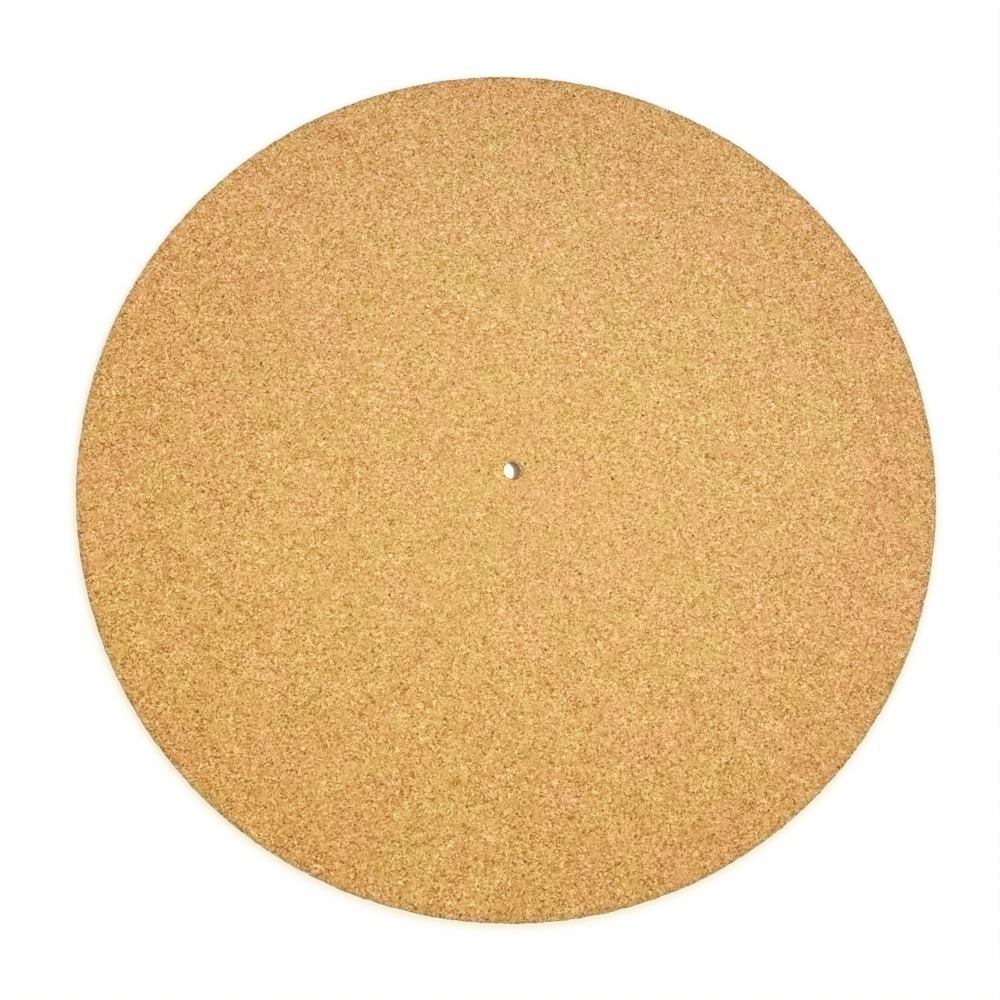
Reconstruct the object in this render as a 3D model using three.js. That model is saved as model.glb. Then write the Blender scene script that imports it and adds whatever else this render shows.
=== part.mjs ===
// Turntable platter mat: one disc, die-cut from a sheet of fine-grain agglomerated cork.
//
// The disc lies flat on a turntable's platter, with the spindle through its centre hole,
// and the record lies on its upper face. It is a single piece, so it is a single solid:
// one closed section turned round the axis of the spindle.
//
// Units are millimetres. Z is up. The origin is on the spindle's axis, on the underside.

import * as THREE from 'three';

// Driving dimensions.
const matDiameter = 300;
const matThickness = 3;
const spindleHoleDiameter = 7;

// The cutting die goes in through the upper face. It draws the cork down a little where it
// enters, and leaves a crisper edge on the underside, where it comes out.
const rimEntryRadius = 0.35;
const rimExitRadius = 0.15;
const holeEntryRadius = 0.3;
const holeExitRadius = 0.15;

// Flats round the whole disc, and flats in the quarter circle of each edge.
const flatsRound = 192;
const flatsPerEdge = 3;

const quarterTurn = Math.PI / 2;

/**
 * The section of the mat on one side of its axis: x is the radius and y the height.
 * It runs anticlockwise round the cork, so that the turned faces point outwards, and each
 * of its four corners is a quarter circle.
 */
function matSection() {
  const rim = matDiameter / 2;
  const hole = spindleHoleDiameter / 2;
  const points = [];

  const roundCorner = (centreRadius, centreHeight, edgeRadius, startAngle) => {
    for (let step = 0; step <= flatsPerEdge; step += 1) {
      const angle = startAngle + (quarterTurn * step) / flatsPerEdge;
      points.push(new THREE.Vector2(
        centreRadius + edgeRadius * Math.cos(angle),
        centreHeight + edgeRadius * Math.sin(angle),
      ));
    }
  };

  roundCorner(rim - rimExitRadius, rimExitRadius, rimExitRadius, -quarterTurn);
  roundCorner(rim - rimEntryRadius, matThickness - rimEntryRadius, rimEntryRadius, 0);
  roundCorner(hole + holeEntryRadius, matThickness - holeEntryRadius, holeEntryRadius, quarterTurn);
  roundCorner(hole + holeExitRadius, holeExitRadius, holeExitRadius, 2 * quarterTurn);

  points.push(points[0].clone());
  return points;
}

/** Cork that has been bonded in a block, sliced and sanded: matt, warm and pale. */
function corkFinish() {
  return new THREE.MeshStandardMaterial({ color: 0xdbab6a, roughness: 0.75, metalness: 0 });
}

/** The cork disc: its section turned once round the spindle's axis. */
function corkMat() {
  const geometry = new THREE.LatheGeometry(matSection(), flatsRound);
  // A lathe turns about Y, and the axis of the mat is Z.
  geometry.rotateX(quarterTurn);

  const mat = new THREE.Mesh(geometry, corkFinish());
  mat.name = 'cork_mat';
  return mat;
}

const platterMat = new THREE.Group();
platterMat.add(corkMat());

export default platterMat;
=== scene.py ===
# %% [markdown]
# # A cork mat for a turntable's platter
#
# The real mat is one disc of agglomerated cork: fine granules of bark, glued in a block,
# sliced, sanded and cut out with a die. There is nothing to see on it but its grain, its cut
# edge and its spindle hole, so this lesson spends its time on those three.
#
# The disc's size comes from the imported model, which is loaded first. Lengths are in metres.

# %% Load the frame
import math

import bpy
from mathutils import Matrix, Vector


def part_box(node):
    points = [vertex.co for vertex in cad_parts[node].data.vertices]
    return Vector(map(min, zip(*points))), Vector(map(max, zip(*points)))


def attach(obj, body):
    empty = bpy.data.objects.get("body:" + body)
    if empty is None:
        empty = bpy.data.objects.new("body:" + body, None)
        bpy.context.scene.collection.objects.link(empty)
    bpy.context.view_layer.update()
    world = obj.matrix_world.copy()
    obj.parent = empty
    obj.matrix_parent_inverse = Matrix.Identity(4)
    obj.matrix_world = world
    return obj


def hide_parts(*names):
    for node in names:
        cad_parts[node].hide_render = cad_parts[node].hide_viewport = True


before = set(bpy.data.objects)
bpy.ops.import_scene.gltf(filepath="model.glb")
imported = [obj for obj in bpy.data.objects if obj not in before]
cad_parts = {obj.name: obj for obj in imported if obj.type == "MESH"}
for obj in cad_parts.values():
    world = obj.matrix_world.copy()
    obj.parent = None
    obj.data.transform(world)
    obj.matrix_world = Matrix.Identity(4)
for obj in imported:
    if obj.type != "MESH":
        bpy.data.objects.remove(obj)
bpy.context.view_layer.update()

low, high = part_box("cork_mat")
RIM = (high.x - low.x) / 2        # the rim's radius
THICK = high.z - low.z
print(f"mat: {2000 * RIM:.1f} mm across, {1000 * THICK:.1f} mm thick")

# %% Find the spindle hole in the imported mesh
MM = 0.001
mat_points = [v.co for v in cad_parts["cork_mat"].data.vertices]
HOLE = min(math.hypot(p.x, p.y) for p in mat_points)
print(f"spindle hole: {2000 * HOLE:.2f} mm across")

# %% [markdown]
# ## The camera
#
# The picture was taken from above, about 35 cm up and a little on the near side, which is why
# the far half of the disc looks smaller than the near half. A camera could be turned by its
# three angles. Here it is set by where it stands and the point on the mat that it looks at,
# because both are easy to picture and to correct. Its top points along +Y.

# %% Camera
CAMERA_PLACE = Vector((-19.4, -69.9, 349.3)) * MM
LOOKS_AT = Vector((-4.74, -10.56, 3.0)) * MM
NEAREST_SEEN = 10 * MM
LENS_MM = 36.55

camera_data = bpy.data.cameras.new("camera")
camera_data.lens = LENS_MM
camera_data.clip_start = NEAREST_SEEN
camera = bpy.data.objects.new("camera", camera_data)
bpy.context.scene.collection.objects.link(camera)

forward = (LOOKS_AT - CAMERA_PLACE).normalized()
right = forward.cross(Vector((0, 1, 0))).normalized()
up = right.cross(forward)
turned = Matrix((right, up, -forward)).transposed().to_4x4()
camera.matrix_world = Matrix.Translation(CAMERA_PLACE) @ turned
bpy.context.scene.camera = camera
print(f"camera: {math.degrees(math.acos(-forward.z)):.1f} degrees off straight down")

# %% [markdown]
# ## The disc
#
# A disc could be one cylinder, but its edge would be a perfect machined line, and cut cork is
# never that: granules break out of it. It could also be spun from a section, but then all its
# rings would be round and centred, and this spindle hole leans a little. So the disc is drawn
# out ring by ring: a circle is extruded, and the new ring is scaled to its radii, all the way
# round the section. The rings lie close together where the die has cut, and wide apart where
# the sheet is flat.

# %% Helpers for drawing out a surface from ring to ring
def nothing_selected():
    """Leaves edit mode and deselects every object."""
    if bpy.context.object and bpy.context.object.mode == "EDIT":
        bpy.ops.object.mode_set(mode="OBJECT")
    bpy.ops.object.select_all(action="DESELECT")


def draw_out(rings):
    """Extrudes the selected ring, of the first two radii and centre, to each next one."""
    across, along, centre = rings[0]
    for next_across, next_along, next_centre in rings[1:]:
        bpy.ops.mesh.extrude_edges_move(TRANSFORM_OT_translate={"value": next_centre - centre})
        bpy.ops.transform.resize(value=(next_across / across, next_along / along, 1),
                                 center_override=next_centre)
        across, along, centre = next_across, next_along, next_centre


def spread(start, end, step):
    """Places from just after start to end, evenly apart, by about a step."""
    count = max(1, round(abs(end - start) / step))
    return [start + (end - start) * i / count for i in range(1, count + 1)]

# %% [markdown]
# ## The section
#
# The die goes in from above and draws the cork down, so the upper edges are a little round,
# and the lower ones are crisper. Cork is also elastic: once the punch is out, the spindle hole
# closes by a few tenths of a millimetre, most of all at its lower end. In the photograph the
# punch also went in a little off plumb: the hole's edge slopes gently on the right and is sharp
# on the left, and its lower end lies a little to the left and back. So each ring has a radius
# along X, one along Y, and a centre that may lie beside the axis. The section starts on the
# upper face near the hole, goes in over the hole's edge and down its wall, out along the
# underside, up the rim, and back in along the upper face to its start.

# %% Sizes of the section
EDGE_STEP = 0.45 * MM             # from ring to ring where the die has cut
FACE_STEP = 2.7 * MM              # from ring to ring where the sheet is flat
HOLE_BAND = HOLE + 2.5 * MM       # how far out from the hole the rings lie close
RIM_BAND = RIM - 3.0 * MM         # and how far in from the rim

RIM_ENTRY = 0.17 * MM             # radius of the rim's upper edge
EXIT_ROUND = 0.15 * MM            # size of the lower edges
EXIT_BEND = 0.3 * EXIT_ROUND      # how far from a sharp corner the hole's lower edge bends
FLAT_START = RIM - RIM_ENTRY - 0.06 * MM      # a ring that keeps the face flat up to its edge
HOLE_EDGE = HOLE - 0.12 * MM      # where the lip starts
LIP_FOOT = HOLE - 0.30 * MM       # where the lip ends and the wall starts
LIP_DEEP = 0.55 * MM
LIP_ASIDE = Vector((-0.56, -0.24, 0)) * MM
HOLE_FOOT = HOLE - 0.76 * MM      # the hole at the underside
FOOT_ASIDE = Vector((-0.74, 0.42, 0)) * MM
HOLE_OVAL = 0.42 * MM             # how much less its radius is along X, under its lip

# How the lip goes down from its edge to its foot: its share across, and its share down.
LIP_TURN = [(0.04, 0.04), (0.12, 0.22), (0.20, 0.30), (0.55, 0.60), (0.90, 0.85), (1.0, 1.0)]

# %% Helpers for rings
def ring(radius, height, aside=Vector((0, 0, 0)), oval=0.0):
    """A ring's radii along X and Y, and its centre."""
    return radius - oval, radius, Vector((aside.x, aside.y, height))


def between(start, end, share):
    """The value at that share of the way from start to end."""
    return start + (end - start) * share


def corner(wall, level, down, size, turns):
    """Rings of a rounded edge at the rim, from the flat face out to the wall."""
    rings = []
    for i in range(1, turns + 1):
        turned = math.radians(90 * i / turns)
        rings.append(ring(wall - size * (1 - math.sin(turned)),
                          level - down * size * (1 - math.cos(turned))))
    return rings

# %% The section of the disc, ring by ring
over_hole = [ring(between(HOLE_EDGE, LIP_FOOT, across), THICK - LIP_DEEP * down,
                  LIP_ASIDE * across, HOLE_OVAL * across) for across, down in LIP_TURN]
wall_heights = spread(THICK - LIP_DEEP, EXIT_ROUND, EDGE_STEP)
wall_shares = [(i + 1) / len(wall_heights) for i in range(len(wall_heights))]
hole_wall = [ring(between(LIP_FOOT, HOLE_FOOT, share), z, between(LIP_ASIDE, FOOT_ASIDE, share),
                  HOLE_OVAL * (1 - share)) for share, z in zip(wall_shares, wall_heights)]
under_hole = [ring(HOLE_FOOT + EXIT_BEND, EXIT_BEND, FOOT_ASIDE),
              ring(HOLE_FOOT + EXIT_ROUND, 0.0, FOOT_ASIDE)]
over_rim = corner(RIM, THICK, down=1, size=RIM_ENTRY, turns=3)
under_rim = corner(RIM, 0.0, down=-1, size=EXIT_ROUND, turns=2)

section = [ring(HOLE_BAND, THICK)]
section += [ring(r, THICK) for r in spread(HOLE_BAND, HOLE_EDGE, EDGE_STEP)]
section += over_hole + hole_wall + under_hole
section += [ring(r, 0.0) for r in spread(HOLE_EDGE + EXIT_ROUND, HOLE_BAND, 2 * EDGE_STEP)]
section += [ring(r, 0.0) for r in spread(HOLE_BAND, RIM_BAND, 2 * FACE_STEP)]
section += [ring(r, 0.0) for r in spread(RIM_BAND, RIM - EXIT_ROUND, 2 * EDGE_STEP)]
section += under_rim
section += [ring(RIM, z) for z in spread(EXIT_ROUND, THICK - RIM_ENTRY, EDGE_STEP)]
section += over_rim[-2::-1] + [ring(RIM - RIM_ENTRY, THICK)]
section += [ring(FLAT_START, THICK)]
section += [ring(r, THICK) for r in spread(FLAT_START, RIM_BAND, EDGE_STEP)]
section += [ring(r, THICK) for r in spread(RIM_BAND, HOLE_BAND, FACE_STEP)]
print(f"section: {len(section) - 1} rings")

# %% Draw the disc out of one circle
FLATS = 288
SAME_PLACE = 0.002 * MM           # points closer than this are merged

nothing_selected()
bpy.ops.mesh.primitive_circle_add(vertices=FLATS, radius=HOLE_BAND, location=(0, 0, THICK))
cork = bpy.context.object
cork.name = "cork_disc"
cork.data.name = "cork_disc"
bpy.ops.object.transform_apply(location=True, rotation=True, scale=True)

bpy.ops.object.mode_set(mode="EDIT")
draw_out(section)
bpy.ops.mesh.select_all(action="SELECT")
bpy.ops.mesh.remove_doubles(threshold=SAME_PLACE)
bpy.ops.mesh.normals_make_consistent(inside=False)
bpy.ops.object.mode_set(mode="OBJECT")
print(f"disc: {len(cork.data.vertices)} points")

# %% [markdown]
# ## Finer flats at the rim
#
# The rim is where the eye looks for broken granules, so its flats have to be about 0.4 mm long,
# and on the face they may be wide. Finer flats all over would cost eight times the triangles.
# So Subdivide cuts only the edges that run along the rim, and makes a fan of triangles where
# the fine flats meet the wide ones.

# %% Where the points lie
import numpy as np


def places_of(mesh):
    """Each point's place, as rows of x, y and z."""
    places = np.empty(3 * len(mesh.vertices), np.float32)
    mesh.vertices.foreach_get("co", places)
    return places.reshape(-1, 3)


def radii_of(mesh):
    """Each point's distance from the spindle's axis."""
    places = places_of(mesh)
    return np.hypot(places[:, 0], places[:, 1])

# %% Subdivide along the rim
RIM_CUTS = 7
CLOSE = 0.01 * MM                 # two measures nearer than this count as the same

radius = radii_of(cork.data)
height = places_of(cork.data)[:, 2]
ends = np.empty(2 * len(cork.data.edges), np.int32)
cork.data.edges.foreach_get("vertices", ends)
ends = ends.reshape(-1, 2)
along = (abs(radius[ends[:, 0]] - radius[ends[:, 1]]) < CLOSE) & (
    abs(height[ends[:, 0]] - height[ends[:, 1]]) < CLOSE)
at_rim = radius[ends].min(1) > RIM_BAND - CLOSE

bpy.ops.object.mode_set(mode="EDIT")
bpy.ops.mesh.select_mode(type="EDGE")
bpy.ops.mesh.select_all(action="DESELECT")
bpy.ops.object.mode_set(mode="OBJECT")
cork.data.edges.foreach_set("select", along & at_rim)
bpy.ops.object.mode_set(mode="EDIT")
bpy.ops.mesh.subdivide(number_cuts=RIM_CUTS)

# %% Look for open edges
bpy.ops.mesh.select_mode(type="VERT")
bpy.ops.mesh.select_all(action="DESELECT")
bpy.ops.mesh.select_non_manifold()
bpy.ops.object.mode_set(mode="OBJECT")
open_points = sum(v.select for v in cork.data.vertices)
triangles = sum(len(p.vertices) - 2 for p in cork.data.polygons)
print(f"disc: {triangles} triangles, {open_points} points on an open edge")

# %% [markdown]
# ## Break the cut edges
#
# Cork crumbles a little where the die went through: single granules stand back, here and there
# one has broken out and left a nick, and the cut wavers slowly. Bump alone would leave the
# outline perfect, so the points themselves move. Displace moves them by a texture, and a vertex
# group says how far each one goes. In the hole they move along their normals. At the rim they
# move straight in towards the spindle, so that the faces stay flat and the disc never grows
# past its size. Displace has no such direction, so the rim is moved along X and along Y, by one
# group for each of the four sides.

# %% Groups that hold the hole's edge and the rim's four sides
HOLE_REACH = HOLE + 1.5 * MM      # the hole's edge is broken out to here
HOLE_FADE = 1.1 * MM              # and less and less over this width
RIM_FADE = 2.4 * MM               # the rim breaks more and more over this width of its band


def hold(name, share):
    """A vertex group with that share, 0 to 1, for each point."""
    group = cork.vertex_groups.new(name=name)
    share = share.round(2)
    for level in np.unique(share[share > 0]):
        group.add(np.nonzero(share == level)[0].tolist(), float(level), "REPLACE")
    print(f"{name}: {int((share > 0).sum())} points")


radius = radii_of(cork.data)
hold("hole", np.clip((HOLE_REACH - radius) / HOLE_FADE, 0, 1))

# A side's share is the share of the way in that lies along its own direction.
x, y = places_of(cork.data)[:, :2].T
near_rim = np.clip((radius - RIM_BAND) / RIM_FADE, 0, 1) / np.maximum(radius, CLOSE)
hold("rim_right", near_rim * np.maximum(x, 0))
hold("rim_left", near_rim * np.maximum(-x, 0))
hold("rim_far", near_rim * np.maximum(y, 0))
hold("rim_near", near_rim * np.maximum(-y, 0))

# %% Helpers that move an edge's points
def displace(texture, depth, group, direction="NORMAL"):
    """Moves that group's points by up to that depth: not at white, and all the way at black."""
    move = cork.modifiers.new(texture.name, "DISPLACE")
    move.texture = texture
    move.texture_coords = "LOCAL"
    move.direction = direction
    move.strength = depth
    move.mid_level = 1.0
    move.vertex_group = group
    nothing_selected()
    cork.select_set(True)
    bpy.context.view_layer.objects.active = cork
    bpy.ops.object.modifier_apply(modifier=move.name)


def break_rim(texture, depth):
    """Moves the rim in towards the spindle."""
    for group, way, direction in (("rim_right", 1, "X"), ("rim_left", -1, "X"),
                                  ("rim_far", 1, "Y"), ("rim_near", -1, "Y")):
        displace(texture, way * depth, group, direction)


def cloud(name, size):
    """A soft uneven texture whose spots have that size."""
    texture = bpy.data.textures.new(name, "CLOUDS")
    texture.noise_scale = size
    texture.noise_depth = 1
    return texture

# %% Crumbs and a waver of the cut
CRUMB_SIZE = 0.8 * MM
CRUMBS_IN_HOLE = 0.20 * MM
CRUMBS_AT_RIM = 0.26 * MM
WAVER_LENGTH = 3.0 * MM
WAVER_DEPTH = 0.45 * MM

crumbs = cloud("crumbs", CRUMB_SIZE)
displace(crumbs, CRUMBS_IN_HOLE, "hole")
break_rim(crumbs, CRUMBS_AT_RIM)
break_rim(cloud("waver", WAVER_LENGTH), WAVER_DEPTH)

# %% Nicks, where a granule has broken out
NICK_APART = 5.0 * MM
NICK_DEPTH = 0.45 * MM
NICK_SHARE = 0.11                 # a nick's reach, as a share of the distance between two

nicks = bpy.data.textures.new("nicks", "VORONOI")
nicks.noise_scale = NICK_APART
nicks.distance_metric = "DISTANCE"
nicks.noise_intensity = 1.0
nicks.use_color_ramp = True
nicks.color_ramp.elements[0].color = (0, 0, 0, 1)
nicks.color_ramp.elements[1].position = NICK_SHARE
nicks.color_ramp.elements[1].color = (1, 1, 1, 1)
break_rim(nicks, NICK_DEPTH)
print(f"rim after breaking: {2000 * radii_of(cork.data).max():.2f} mm across")

# %% [markdown]
# ## The grain of cork
#
# Seen close, the sheet is a mosaic: granules of 0.5 to 1 mm, each with its own shade of tan,
# pressed against its neighbours, with thin dark seams of binder and small brown specks of bark.
# A photo texture would repeat and would smear down the cut edge. A solid pattern in three
# dimensions doesn't: the same granule shows on the face and on the cut wall, as in real cork.
# Voronoi cells make the mosaic, noise streaks the granules, and both cork materials use the
# group, each with its own values.

# %% Helpers that place nodes and name a group's sockets
def add_node(tree, kind, **settings):
    """A node of that kind, with those settings."""
    node = tree.nodes.new(kind)
    for name, value in settings.items():
        setattr(node, name, value)
    return node


def new_group(name, inputs, outputs):
    """A shader node group with those sockets, and its input and output nodes."""
    group = bpy.data.node_groups.new(name, "ShaderNodeTree")
    for label, kind, default in inputs:
        socket = group.interface.new_socket(label, in_out="INPUT", socket_type=kind)
        if default is not None:
            socket.default_value = default
    for label, kind in outputs:
        group.interface.new_socket(label, in_out="OUTPUT", socket_type=kind)
    return group, group.nodes.new("NodeGroupInput"), group.nodes.new("NodeGroupOutput")


def math_node(tree, operation, a, b=None, clamp=False):
    """A Math node: a and b are sockets or numbers."""
    node = add_node(tree, "ShaderNodeMath", operation=operation, use_clamp=clamp)
    for socket, value in zip(node.inputs, (a, b)):
        if value is None:
            continue
        if hasattr(value, "is_output"):
            tree.links.new(value, socket)
        else:
            socket.default_value = value
    return node.outputs[0]


def remap(tree, value, from_low, from_high, to_low=0.0, to_high=1.0, smooth=False):
    """The value stretched from one range to another, and held inside it."""
    node = add_node(tree, "ShaderNodeMapRange", clamp=True)
    if smooth:
        node.interpolation_type = "SMOOTHSTEP"
    tree.links.new(value, node.inputs["Value"])
    for name, number in (("From Min", from_low), ("From Max", from_high),
                         ("To Min", to_low), ("To Max", to_high)):
        node.inputs[name].default_value = number
    return node.outputs["Result"]

# %% Sizes and weights of the mosaic
BENDS_PER_MM = 0.75               # how closely the pressed block is bent
LARGE_PER_SMALL = 0.24            # large cells for each small one, along a line
STREAKS_PER_SMALL = 1.1
GRANULE_TOP, GRANULE_SIDE = 0.15, 0.75     # where it falls off, in cells from its middle
SEAM_CORE, SEAM_END = 0.02, 0.09           # where a large granule's seam fades, in cells
PLAIN_FROM, PLAIN_ALL = 0.70, 0.80         # the large granules past this share are plain inside
PLAINNESS = 0.4
SHADE_WEIGHT = 0.42               # how much each part adds to the tone, from darkest to palest
STREAK_WEIGHT = 1.05
LARGE_SHADE_WEIGHT = 0.07
SEAM_WEIGHT = 0.10
SMALLEST_SPECK, LARGEST_SPECK = 0.7, 1.45
SPECK_CORE, SPECK_END = 0.12, 0.28
SPECK_RAGGED = 0.3

# %% The granule mosaic
def granule_group():
    """Tone, height and bark flecks of a solid made of pressed granules."""
    tree, enter, leave = new_group(
        "cork_granules",
        [("Place", "NodeSocketVector", None),
         ("Granule Size", "NodeSocketFloat", 0.6),
         ("Squeeze", "NodeSocketFloat", 0.5),
         ("Contrast", "NodeSocketFloat", 1.0),
         ("Fleck Share", "NodeSocketFloat", 0.04)],
        [("Tone", "NodeSocketFloat"),
         ("Fleck", "NodeSocketFloat"),
         ("Height", "NodeSocketFloat")])
    size = enter.outputs["Granule Size"]

    # Pressing the block squeezes each granule its own way: noise bends the space of the cells.
    bend = add_node(tree, "ShaderNodeTexNoise")
    bend.inputs["Scale"].default_value = BENDS_PER_MM
    bend.inputs["Detail"].default_value = 0.0
    tree.links.new(enter.outputs["Place"], bend.inputs["Vector"])
    middle = add_node(tree, "ShaderNodeVectorMath", operation="SUBTRACT")
    middle.inputs[1].default_value = (0.5, 0.5, 0.5)
    tree.links.new(bend.outputs["Color"], middle.inputs[0])
    amount = add_node(tree, "ShaderNodeVectorMath", operation="SCALE")
    tree.links.new(middle.outputs["Vector"], amount.inputs[0])
    tree.links.new(enter.outputs["Squeeze"], amount.inputs["Scale"])
    bent = add_node(tree, "ShaderNodeVectorMath", operation="ADD")
    tree.links.new(enter.outputs["Place"], bent.inputs[0])
    tree.links.new(amount.outputs["Vector"], bent.inputs[1])
    place = bent.outputs["Vector"]

    # Small granules: each cell has one random shade, and stands a little proud of its seams.
    small = add_node(tree, "ShaderNodeTexVoronoi", feature="F1")
    tree.links.new(place, small.inputs["Vector"])
    tree.links.new(math_node(tree, "DIVIDE", 1.0, size), small.inputs["Scale"])
    small_shade = add_node(tree, "ShaderNodeSeparateColor")
    tree.links.new(small.outputs["Color"], small_shade.inputs["Color"])
    proud = remap(tree, small.outputs["Distance"], GRANULE_TOP, GRANULE_SIDE, 1.0, 0.0, True)
    tree.links.new(proud, leave.inputs["Height"])

    # Large granules among them: some are plain inside, and all have a darker seam round them.
    large_scale = math_node(tree, "DIVIDE", LARGE_PER_SMALL, size)
    large = add_node(tree, "ShaderNodeTexVoronoi", feature="F1")
    tree.links.new(place, large.inputs["Vector"])
    tree.links.new(large_scale, large.inputs["Scale"])
    large_shade = add_node(tree, "ShaderNodeSeparateColor")
    tree.links.new(large.outputs["Color"], large_shade.inputs["Color"])
    border = add_node(tree, "ShaderNodeTexVoronoi", feature="DISTANCE_TO_EDGE")
    tree.links.new(place, border.inputs["Vector"])
    tree.links.new(large_scale, border.inputs["Scale"])
    seam = remap(tree, border.outputs["Distance"], SEAM_CORE, SEAM_END, 1.0, 0.0, True)
    plain = remap(tree, large_shade.outputs["Red"], PLAIN_FROM, PLAIN_ALL, 0.0, PLAINNESS)

    # Streaks inside the granules, and slow clusters of paler and darker ones.
    streaks = add_node(tree, "ShaderNodeTexNoise")
    streaks.inputs["Detail"].default_value = 1.0
    tree.links.new(place, streaks.inputs["Vector"])
    tree.links.new(math_node(tree, "DIVIDE", STREAKS_PER_SMALL, size), streaks.inputs["Scale"])

    def part(value, weight):
        """A value of 0 to 1 as a share above or below the middle tone."""
        return math_node(tree, "MULTIPLY", math_node(tree, "SUBTRACT", value, 0.5), weight)

    fine = math_node(tree, "ADD", part(small_shade.outputs["Red"], SHADE_WEIGHT),
                     part(streaks.outputs["Fac"], STREAK_WEIGHT))
    fine = math_node(tree, "MULTIPLY", fine, math_node(tree, "SUBTRACT", 1.0, plain))
    total = math_node(tree, "ADD", fine, part(large_shade.outputs["Green"], LARGE_SHADE_WEIGHT))
    total = math_node(tree, "SUBTRACT", total, math_node(tree, "MULTIPLY", seam, SEAM_WEIGHT))
    total = math_node(tree, "MULTIPLY", total, enter.outputs["Contrast"])
    tree.links.new(math_node(tree, "ADD", total, 0.5, clamp=True), leave.inputs["Tone"])

    # Some large granules carry a speck of bark at their middle, small in one and big in another.
    rare = math_node(tree, "SUBTRACT", 1.0, enter.outputs["Fleck Share"])
    is_bark = math_node(tree, "GREATER_THAN", large_shade.outputs["Blue"], rare)
    speck_size = remap(tree, large_shade.outputs["Green"], 0.0, 1.0, SMALLEST_SPECK, LARGEST_SPECK)
    ragged = math_node(tree, "ADD", large.outputs["Distance"],
                       part(streaks.outputs["Fac"], SPECK_RAGGED))
    from_middle = math_node(tree, "DIVIDE", ragged, speck_size)
    inside = remap(tree, from_middle, SPECK_CORE, SPECK_END, 1.0, 0.0, True)
    tree.links.new(math_node(tree, "MULTIPLY", is_bark, inside), leave.inputs["Fleck"])
    return tree


GRANULES = granule_group()

# %% [markdown]
# ## Patches of hue
#
# The block is glued from granules of many trees, and the binder darkens unevenly, so over a
# centimetre or two the sheet drifts between a yellower and a pinker tan. Cells would show their
# borders, and slow noise has none, so noise gives a value between the two.

# %% Slow patches
def patch_group():
    """A value that drifts from 0 to 1 over patches of the stated size."""
    tree, enter, leave = new_group(
        "cork_patches",
        [("Place", "NodeSocketVector", None), ("Patch Size", "NodeSocketFloat", 18.0)],
        [("Patch", "NodeSocketFloat")])
    drift = add_node(tree, "ShaderNodeTexNoise")
    drift.inputs["Detail"].default_value = 2.0
    drift.inputs["Roughness"].default_value = 0.7
    tree.links.new(enter.outputs["Place"], drift.inputs["Vector"])
    patches_per_mm = math_node(tree, "DIVIDE", 1.0, enter.outputs["Patch Size"])
    tree.links.new(patches_per_mm, drift.inputs["Scale"])
    tree.links.new(remap(tree, drift.outputs["Fac"], 0.25, 0.75), leave.inputs["Patch"])
    return tree


PATCHES = patch_group()

# %% [markdown]
# ## Light and shade painted along the edges
#
# The rim's last few millimetres are painted greyer and a thin line on its very edge darker, as
# painted shade, and the hole's lip is painted paler, as painted light. Painted points would need
# a very fine mesh. All three are circles round the spindle's axis, so a group measures how far a
# point is from such a circle, and noise makes it break up as the real one.

# %% A mask for a round edge
EDGE_SPOTS_PER_MM = 0.9
EDGE_RAGGED = 1.5                 # how far noise moves the mask's border, in widths
EDGE_FULL, EDGE_END = 0.4, 1.1    # where the mask starts to fade, and ends, in widths


def edge_group():
    """Near Edge: 1 on the circle of the edge, fading to 0 over the stated width round it."""
    tree, enter, leave = new_group(
        "round_edge",
        [("Place", "NodeSocketVector", None),
         ("Edge Radius", "NodeSocketFloat", 150.0),
         ("Edge Height", "NodeSocketFloat", 3.0),
         ("Width", "NodeSocketFloat", 0.6)],
        [("Near Edge", "NodeSocketFloat")])
    flat = add_node(tree, "ShaderNodeVectorMath", operation="MULTIPLY")
    flat.inputs[1].default_value = (1, 1, 0)
    tree.links.new(enter.outputs["Place"], flat.inputs[0])
    from_axis = add_node(tree, "ShaderNodeVectorMath", operation="LENGTH")
    tree.links.new(flat.outputs["Vector"], from_axis.inputs[0])
    outward = math_node(tree, "SUBTRACT", from_axis.outputs["Value"], enter.outputs["Edge Radius"])
    axes = add_node(tree, "ShaderNodeSeparateXYZ")
    tree.links.new(enter.outputs["Place"], axes.inputs["Vector"])
    upward = math_node(tree, "SUBTRACT", axes.outputs["Z"], enter.outputs["Edge Height"])
    squares = math_node(tree, "ADD", math_node(tree, "MULTIPLY", outward, outward),
                        math_node(tree, "MULTIPLY", upward, upward))
    away = math_node(tree, "SQRT", squares)
    away = math_node(tree, "DIVIDE", away, enter.outputs["Width"])
    uneven = add_node(tree, "ShaderNodeTexNoise")
    uneven.inputs["Scale"].default_value = EDGE_SPOTS_PER_MM
    uneven.inputs["Detail"].default_value = 1.0
    tree.links.new(enter.outputs["Place"], uneven.inputs["Vector"])
    ragged = math_node(tree, "SUBTRACT", uneven.outputs["Fac"], 0.5)
    away = math_node(tree, "ADD", away, math_node(tree, "MULTIPLY", ragged, EDGE_RAGGED))
    near = remap(tree, away, EDGE_FULL, EDGE_END, 1.0, 0.0, True)
    tree.links.new(near, leave.inputs["Near Edge"])
    return tree


ROUND_EDGE = edge_group()

# %% [markdown]
# ## Painted light over the whole sheet
#
# The sheet's tan is tinted by painted light. A painted sheen makes it paler towards the far side
# and leaves a deeper orange towards the near side, and painted light that falls off outwards makes
# its outer part a little redder than its middle. A gradient texture would be too even. So the
# group measures both ways, across and outwards, and slow noise bends them.

# %% How far across the sheet, and how far out
# The painted sheen is strongest this way, so it paints the sheet paler on that side.
PAINTED_SHEEN_WAY = (0.30, 0.95, 0)         # the sheet's pale side lies this way
SHEET_BENDS = 1.5                 # how often the drift bends over half the sheet
FAR_REACH = 0.9                   # how far each way the drift goes on, in half widths
OUTER_START = 0.3                 # how far out the outer part starts, in half widths


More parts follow.
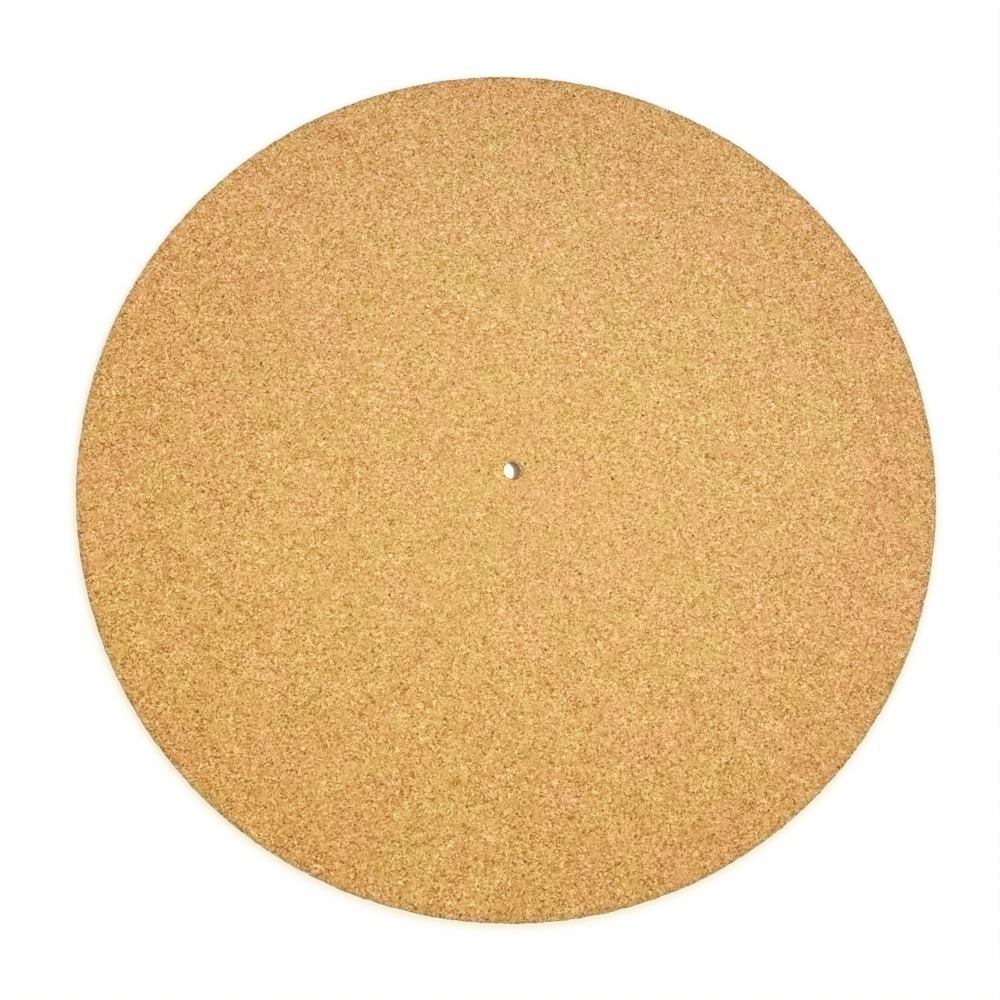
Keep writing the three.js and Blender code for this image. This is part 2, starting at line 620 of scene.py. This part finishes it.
def sheet_group():
    """Far: 0 at the near side and 1 at the far one. Outer: 0 in the middle, then up to 1.

    From Axis: 0 at the spindle and 1 at the rim.
    """
    tree, enter, leave = new_group(
        "cork_sheet",
        [("Place", "NodeSocketVector", None), ("Half Width", "NodeSocketFloat", 150.0)],
        [("Far", "NodeSocketFloat"),
         ("Outer", "NodeSocketFloat"),
         ("From Axis", "NodeSocketFloat")])
    share = math_node(tree, "DIVIDE", 1.0, enter.outputs["Half Width"])
    scaled = add_node(tree, "ShaderNodeVectorMath", operation="SCALE")
    tree.links.new(enter.outputs["Place"], scaled.inputs[0])
    tree.links.new(share, scaled.inputs["Scale"])
    bend = add_node(tree, "ShaderNodeTexNoise")
    bend.inputs["Scale"].default_value = SHEET_BENDS
    bend.inputs["Detail"].default_value = 1.0
    tree.links.new(scaled.outputs["Vector"], bend.inputs["Vector"])
    uneven = math_node(tree, "SUBTRACT", bend.outputs["Fac"], 0.5)
    along = add_node(tree, "ShaderNodeVectorMath", operation="DOT_PRODUCT")
    along.inputs[1].default_value = PAINTED_SHEEN_WAY
    tree.links.new(scaled.outputs["Vector"], along.inputs[0])
    far = math_node(tree, "ADD", along.outputs["Value"], uneven)
    tree.links.new(remap(tree, far, -FAR_REACH, FAR_REACH), leave.inputs["Far"])
    distance = add_node(tree, "ShaderNodeVectorMath", operation="LENGTH")
    tree.links.new(scaled.outputs["Vector"], distance.inputs[0])
    tree.links.new(distance.outputs["Value"], leave.inputs["From Axis"])
    outer = math_node(tree, "ADD", distance.outputs["Value"], uneven)
    outer = remap(tree, outer, OUTER_START, 1.0)
    tree.links.new(math_node(tree, "MULTIPLY", outer, outer), leave.inputs["Outer"])
    return tree


SHEET = sheet_group()

# %% [markdown]
# ## The colours of cork
#
# A granule's tone goes through a colour ramp, from the brown of a seam to the cream of a soft
# open granule, with the usual tan in its middle. The hue patches, the painted light over the sheet
# and the painted light and shade along the edges could have ramps of their own, but a tint that
# multiplies the tan keeps its contrast, so they are tints near 1.

# %% A colour as it shows
def from_srgb(*shown):
    """A colour as it shows, 0 to 255, as the linear values that a shader takes."""
    return tuple(c / 255 / 12.92 if c <= 10 else ((c / 255 + 0.055) / 1.055) ** 2.4 for c in shown)

# %% Colours and tints of cork
TONES = [                # place on the ramp, and the shade there
    (0.00, (112, 58, 0)),
    (0.20, (169, 110, 22)),
    (0.35, (204, 150, 72)),
    (0.50, (225, 175, 101)),
    (0.63, (241, 195, 123)),
    (0.75, (252, 215, 146)),
    (1.00, (255, 242, 186)),
]
BARK = (122, 72, 14)
YELLOWER = (0.963, 1.047, 0.905)
PINKER = (1.037, 0.953, 1.09)
# Painted sheen and light, not the cork's own colour: paler and cooler far and in the middle,
# deeper orange near, and redder outside, where the painted light falls off.
PAINTED_SHEEN_NEAR = (1.00, 0.975, 0.865)
PAINTED_SHEEN_FAR = (1.00, 1.025, 1.165)
PAINTED_LIGHT_MIDDLE = (0.99, 1.03, 1.125)
PAINTED_FALLOFF_OUTER = (0.985, 0.925, 0.99)
# Painted shade: the rim's last few millimetres greyer, and a darker line on its very edge.
PAINTED_RIM_SHADE = (0.86, 0.955, 1.13)
PAINTED_EDGE_SHADE = (0.79, 0.89, 1.12)
# Painted light that makes the hole's lip paler and cooler.
PAINTED_LIP_LIGHT = (1.00, 1.05, 1.36)
PAINTED_EDGE_TINTS = [           # radius, width in millimetres, tint
    (RIM, 3.2, PAINTED_RIM_SHADE),
    (RIM - 0.58 * MM, 0.75, PAINTED_EDGE_SHADE),
    (HOLE_EDGE, 0.9, PAINTED_LIP_LIGHT),
]

# %% [markdown]
# ## One cork for two finishes
#
# The faces are sanded smooth, and the die leaves the walls rougher. Both are the same cork, so
# one function makes a material from the groups above, and is told its grain's values, its
# shade, its roughness and how high its granules stand. The relief is only bump: it is finer
# than any flat of the mesh.

# %% Helpers that place a group and mix two colours
PATCH_SIZE = 15.0                 # in millimetres, as every place in the groups
CONTRAST_MIDDLE, CONTRAST_RIM = 0.82, 1.07


def group_node(tree, group, place, values):
    """A group read at that place, with those values."""
    node = add_node(tree, "ShaderNodeGroup", node_tree=group)
    tree.links.new(place, node.inputs["Place"])
    for name, value in values.items():
        node.inputs[name].default_value = value
    return node


def tint(tree, blend, amount, a, b):
    """A Mix node for colours: a and b are sockets or colours, the amount a socket or number."""
    node = add_node(tree, "ShaderNodeMix", data_type="RGBA", blend_type=blend)
    for socket, value in ((node.inputs[0], amount), (node.inputs[6], a), (node.inputs[7], b)):
        if hasattr(value, "is_output"):
            tree.links.new(value, socket)
        else:
            socket.default_value = value
    return node.outputs[2]

# %% The cork's colour
def cork_colour(tree, place, grain, sheet, shade):
    """The granules' colours, with their hue patches and painted light and shade over sheet and
    edges.
    """
    ramp = add_node(tree, "ShaderNodeValToRGB")
    stops = ramp.color_ramp.elements
    while len(stops) < len(TONES):
        stops.new(0.5)
    for stop, (position, tone) in zip(stops, TONES):
        stop.position = position
        stop.color = (*[c * shade for c in from_srgb(*tone)], 1)
    tree.links.new(grain.outputs["Tone"], ramp.inputs["Fac"])

    bark = (*[c * shade for c in from_srgb(*BARK)], 1)
    speckled = tint(tree, "MIX", grain.outputs["Fleck"], ramp.outputs["Color"], bark)
    patches = group_node(tree, PATCHES, place, {"Patch Size": PATCH_SIZE})
    hue = tint(tree, "MIX", patches.outputs["Patch"], (*YELLOWER, 1), (*PINKER, 1))
    colour = tint(tree, "MULTIPLY", 1.0, speckled, hue)
    # Painted sheen across the sheet, and painted light that falls off towards the rim.
    across = tint(tree, "MIX", sheet.outputs["Far"], (*PAINTED_SHEEN_NEAR, 1), (*PAINTED_SHEEN_FAR, 1))
    outward = tint(tree, "MIX", sheet.outputs["Outer"], (*PAINTED_LIGHT_MIDDLE, 1), (*PAINTED_FALLOFF_OUTER, 1))
    colour = tint(tree, "MULTIPLY", 1.0, colour, across)
    colour = tint(tree, "MULTIPLY", 1.0, colour, outward)
    # Painted shade along the rim, and painted light on the hole's lip.
    for edge_radius, width, painted_tint in PAINTED_EDGE_TINTS:
        line = group_node(tree, ROUND_EDGE, place, {
            "Edge Radius": 1000 * edge_radius, "Edge Height": 1000 * THICK, "Width": width})
        colour = tint(tree, "MULTIPLY", line.outputs["Near Edge"], colour, (*painted_tint, 1))
    return colour

# %% The cork material
def cork_material(name, granules, shade, roughness, relief):
    """Cork with its granules' values, a factor on its colours, and its relief in metres."""
    material = bpy.data.materials.new(name)
    material.use_nodes = True
    tree = material.node_tree
    shader = tree.nodes["Principled BSDF"]

    # Object coordinates are in metres, and a granule is easier to think of in millimetres.
    where = add_node(tree, "ShaderNodeTexCoord")
    in_mm = add_node(tree, "ShaderNodeMapping")
    in_mm.inputs["Scale"].default_value = (1000, 1000, 1000)
    tree.links.new(where.outputs["Object"], in_mm.inputs["Vector"])
    place = in_mm.outputs["Vector"]

    # The granules stand out a little more towards the rim than round the hole.
    sheet = group_node(tree, SHEET, place, {"Half Width": 1000 * RIM})
    grain = group_node(tree, GRANULES, place, granules)
    contrast = remap(tree, sheet.outputs["From Axis"], 0.0, 1.0,
                     CONTRAST_MIDDLE * granules["Contrast"], CONTRAST_RIM * granules["Contrast"])
    tree.links.new(contrast, grain.inputs["Contrast"])
    colour = cork_colour(tree, place, grain, sheet, shade)
    tree.links.new(colour, shader.inputs["Base Color"])

    # Cork hardly shines. Its pale granules are open and dull, and the dark ones a little waxy.
    shader.inputs["Specular IOR Level"].default_value = 0.2
    dull = remap(tree, grain.outputs["Tone"], 0.2, 0.8, roughness - 0.1, roughness + 0.1)
    tree.links.new(dull, shader.inputs["Roughness"])

    bump = add_node(tree, "ShaderNodeBump")
    bump.inputs["Strength"].default_value = 1.0
    bump.inputs["Distance"].default_value = relief
    tree.links.new(grain.outputs["Height"], bump.inputs["Height"])
    tree.links.new(bump.outputs["Normal"], shader.inputs["Normal"])
    return material

# %% Sanded faces and cut edges
sanded = cork_material(
    "sanded_cork", {"Granule Size": 0.6, "Squeeze": 0.7, "Contrast": 1.0, "Fleck Share": 0.17},
    shade=1.0, roughness=0.7, relief=0.02 * MM)
# The cut cork's colours are lifted 5 % above the sanded cork's, as painted light on the hole's
# shaded wall and the rim's cut edge.
cut = cork_material(
    "cut_cork", {"Granule Size": 0.6, "Squeeze": 0.7, "Contrast": 1.1, "Fleck Share": 0.25},
    shade=1.05, roughness=0.75, relief=0.08 * MM)
cork.data.materials.append(sanded)
cork.data.materials.append(cut)

# %% Give the cut faces their own material
WALL_TOP = THICK - 0.8 * LIP_DEEP             # below this the hole's faces are its cut wall
CUT_RIM = RIM - 0.5 * RIM_ENTRY               # outside this the rim's are

nothing_selected()
cork.select_set(True)
bpy.context.view_layer.objects.active = cork
bpy.ops.object.mode_set(mode="EDIT")
bpy.ops.mesh.select_mode(type="FACE")
bpy.ops.mesh.select_all(action="DESELECT")
bpy.ops.object.mode_set(mode="OBJECT")
cut_faces = 0
for face in cork.data.polygons:
    from_axis = face.center.xy.length
    in_hole = from_axis < HOLE and face.center.z < WALL_TOP
    face.select = in_hole or from_axis > CUT_RIM
    cut_faces += face.select
bpy.ops.object.mode_set(mode="EDIT")
cork.active_material_index = 1
bpy.ops.object.material_slot_assign()
bpy.ops.object.mode_set(mode="OBJECT")
bpy.ops.object.shade_smooth()
print(f"{cut_faces} faces are cut cork, {len(cork.data.polygons) - cut_faces} are sanded")

# %% [markdown]
# ## A white floor that keeps the shadow
#
# The ground of the picture is pure white. More light would whiten a grey floor, but would bleach
# the cork too. So the floor is paper that lights the mat as paper does, and where the camera or
# a reflection looks at it outside the mat, most of it is a glow of strength 1. The rest is still
# paper and takes the mat's shadow, and so is all of the floor seen through the hole. The picture
# has a faint cream fringe along the rim, and a ramp on the glow repeats it as painted warm bounce
# light and shade from the cork.

# %% The floor
FLOOR_SIZE = 6.0
FLOOR_BELOW = 0.01 * MM           # a hair under the mat, so that the two never flicker
PAPER = (0.845, 0.885, 0.805, 1)  # the warm light in the hole makes it nearly neutral

bpy.ops.mesh.primitive_plane_add(size=FLOOR_SIZE, location=(0, 0, -FLOOR_BELOW))
floor = bpy.context.object
floor.name = "floor"
white = bpy.data.materials.new("white_floor")
white.use_nodes = True
tree = white.node_tree
paper = tree.nodes["Principled BSDF"]
paper.inputs["Base Color"].default_value = PAPER
paper.inputs["Roughness"].default_value = 0.9

# %% How much of the floor glows, and in what colour
GLOW_NEAR, GLOW_FURTHER = 0.94, 0.05          # shares close to the mat, and added further out
NEAR_STARTS, NEAR_FULL = RIM - 0.5 * MM, RIM + 0.3 * MM
FURTHER_STARTS, FURTHER_FULL = RIM + 2 * MM, RIM + 25 * MM
# The cream fringe on the glow beside the rim is painted warm bounce light and contact shade.
PAINTED_BOUNCE_SHADE_STARTS, PAINTED_BOUNCE_SHADE_ENDS = RIM + 1.2 * MM, RIM + 4.2 * MM
PAINTED_BOUNCE_SHADE = [                 # place on the ramp, and the glow's colour there
    (0.0, (0.97, 0.87, 0.68)),
    (0.2, (0.985, 0.93, 0.80)),
    (0.45, (0.99, 0.965, 0.91)),
    (0.7, (0.99, 0.99, 0.97)),
    (1.0, (1, 1, 1)),
]

where = add_node(tree, "ShaderNodeTexCoord")
length = add_node(tree, "ShaderNodeVectorMath", operation="LENGTH")
tree.links.new(where.outputs["Object"], length.inputs[0])
from_axis = length.outputs["Value"]
outside = remap(tree, from_axis, NEAR_STARTS, NEAR_FULL, 0.0, GLOW_NEAR)
further = remap(tree, from_axis, FURTHER_STARTS, FURTHER_FULL, 0.0, GLOW_FURTHER)
outside = math_node(tree, "ADD", outside, further)

painted_bounce_shade = add_node(tree, "ShaderNodeValToRGB")
while len(painted_bounce_shade.color_ramp.elements) < len(PAINTED_BOUNCE_SHADE):
    painted_bounce_shade.color_ramp.elements.new(0.5)
for stop, (position, cream) in zip(painted_bounce_shade.color_ramp.elements, PAINTED_BOUNCE_SHADE):
    stop.position = position
    stop.color = (*cream, 1)
tree.links.new(remap(tree, from_axis, PAINTED_BOUNCE_SHADE_STARTS, PAINTED_BOUNCE_SHADE_ENDS), painted_bounce_shade.inputs["Fac"])

# %% Mix paper and glow
def looked_at(tree):
    """1 where the camera looks, also by reflection or through glass, and 0 for other light."""
    seen = add_node(tree, "ShaderNodeLightPath")
    mirrored = math_node(tree, "MAXIMUM", seen.outputs["Is Glossy Ray"],
                         seen.outputs["Is Transmission Ray"])
    return math_node(tree, "MAXIMUM", seen.outputs["Is Camera Ray"], mirrored)


glow = add_node(tree, "ShaderNodeEmission")
glow.inputs["Strength"].default_value = 1.0
tree.links.new(painted_bounce_shade.outputs["Color"], glow.inputs["Color"])
mix = add_node(tree, "ShaderNodeMixShader")
tree.links.new(math_node(tree, "MULTIPLY", outside, looked_at(tree)), mix.inputs["Fac"])
tree.links.new(paper.outputs["BSDF"], mix.inputs[1])
tree.links.new(glow.outputs["Emission"], mix.inputs[2])
tree.links.new(mix.outputs["Shader"], tree.nodes["Material Output"].inputs["Surface"])
floor.data.materials.append(white)

# %% [markdown]
# ## The light
#
# The right wall of the spindle hole lies in shade, so the picture's main light comes from the
# right, and pale surroundings fill the shadows. A sun lamp would light the whole floor alike. So
# the main light is a spot lamp with a wide soft source, which falls off away from the mat, a
# large disc overhead is the window, and the world is the walls. Their levels are set so that a
# colour on the mat renders about as it is written.

# %% World
AMBIENT = 0.21

world = bpy.data.worlds.new("studio")
bpy.context.scene.world = world
world.use_nodes = True
tree = world.node_tree
ambient = tree.nodes["Background"]
ambient.inputs["Color"].default_value = (1, 1, 1, 1)
ambient.inputs["Strength"].default_value = AMBIENT
backdrop = add_node(tree, "ShaderNodeBackground")
backdrop.inputs["Color"].default_value = (1, 1, 1, 1)
backdrop.inputs["Strength"].default_value = 1.0
mix = add_node(tree, "ShaderNodeMixShader")
tree.links.new(looked_at(tree), mix.inputs["Fac"])
tree.links.new(ambient.outputs["Background"], mix.inputs[1])
tree.links.new(backdrop.outputs["Background"], mix.inputs[2])
tree.links.new(mix.outputs["Shader"], tree.nodes["World Output"].inputs["Surface"])

# %% Helpers for lamps
def lamp(name, kind, place, aim, energy, **settings):
    """A lamp at a place, turned to shine at the aim."""
    data = bpy.data.lights.new(name, kind)
    data.energy = energy
    for setting, value in settings.items():
        setattr(data, setting, value)
    obj = bpy.data.objects.new(name, data)
    bpy.context.scene.collection.objects.link(obj)
    obj.location = place
    obj.rotation_euler = (Vector(aim) - Vector(place)).to_track_quat("-Z", "Y").to_euler()
    return obj


def from_direction(azimuth, tilt, distance):
    """A place at that distance, by the angle from +X and the angle from straight up."""
    around, down = math.radians(azimuth), math.radians(tilt)
    return Vector((math.sin(down) * math.cos(around), math.sin(down) * math.sin(around),
                   math.cos(down))) * distance


def white_level(distance, tilt, level):
    """Energy at which a small lamp lights a flat white card to that level."""
    return 4 * math.pi ** 2 * distance ** 2 * level / math.cos(math.radians(tilt))

# %% Lamps
KEY_FAR, KEY_AZIMUTH, KEY_TILT = 3.0, -3, 40
KEY_AIM = (-0.05, 0, 0)
KEY_LEVEL = 0.765
KEY_CONE = math.radians(15.2)
OVERHEAD_PLACE = (0.45, 0.8, 1.9)
OVERHEAD_ENERGY = 7

lamp("key", "SPOT", from_direction(KEY_AZIMUTH, KEY_TILT, KEY_FAR), KEY_AIM,
     white_level(KEY_FAR, KEY_TILT, KEY_LEVEL), shadow_soft_size=0.18, spot_size=KEY_CONE,
     spot_blend=1.0)
lamp("overhead", "AREA", OVERHEAD_PLACE, (0, 0, 0), OVERHEAD_ENERGY, shape="DISK", size=2.2)

bpy.context.scene.view_settings.view_transform = "Standard"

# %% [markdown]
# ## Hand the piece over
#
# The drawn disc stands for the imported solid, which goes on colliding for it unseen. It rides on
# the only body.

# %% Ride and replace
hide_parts("cork_mat")
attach(cork, "root")
